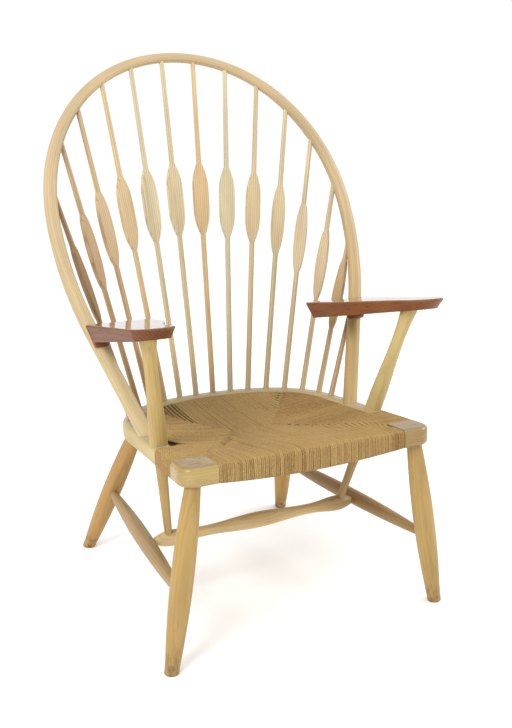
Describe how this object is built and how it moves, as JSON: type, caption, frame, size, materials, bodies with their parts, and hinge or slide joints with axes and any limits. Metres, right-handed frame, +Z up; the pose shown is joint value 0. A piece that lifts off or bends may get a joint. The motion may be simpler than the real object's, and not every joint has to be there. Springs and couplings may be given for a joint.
{
  "type": "lounge chair",
  "caption": "Hoop-back wooden lounge chair with a fan of leaf-shaped spindles, dark arms on posts and a woven cord seat.",
  "frame": {"origin": "on the floor, below the middle of the chair's box", "axes": "+Z up, the sitter faces -Y, +X to the right as seen from the front"},
  "size_m": [0.6625, 0.5916, 1.0321],
  "materials": {
    "pale_wood": "satin lacquered ash",
    "dark_wood": "oiled teak with a sheen",
    "paper_cord": "twisted paper cord, matt",
    "steel": "plain wire"
  },
  "bodies": {
    "root": {"back_bow": "pale_wood", "seat_back_rail": "pale_wood", "seat_front_rail": "pale_wood", "cross_stretcher": "pale_wood", "arm_dowels": "pale_wood", "seat_corner_block_right": "pale_wood", "seat_corner_block_left": "pale_wood", "leg_front_right": "pale_wood", "leg_front_left": "pale_wood", "leg_rear_right": "pale_wood", "leg_rear_left": "pale_wood", "side_stretcher_right": "pale_wood", "side_stretcher_left": "pale_wood", "arm_post_right": "pale_wood", "arm_post_left": "pale_wood", "spindle_right_1": "pale_wood", "spindle_left_1": "pale_wood", "spindle_right_2": "pale_wood", "spindle_left_2": "pale_wood", "spindle_right_3": "pale_wood", "spindle_left_3": "pale_wood", "spindle_right_4": "pale_wood", "spindle_left_4": "pale_wood", "spindle_right_5": "pale_wood", "spindle_left_5": "pale_wood", "spindle_right_6": "pale_wood", "spindle_left_6": "pale_wood", "spindle_right_7": "pale_wood", "spindle_left_7": "pale_wood", "spindle_right_8": "pale_wood", "spindle_left_8": "pale_wood", "arm_right": "dark_wood", "arm_left": "dark_wood", "leg_wedges": "dark_wood", "cord_seat": "paper_cord", "cord_nails": "steel"}
  },
  "joints": []
}
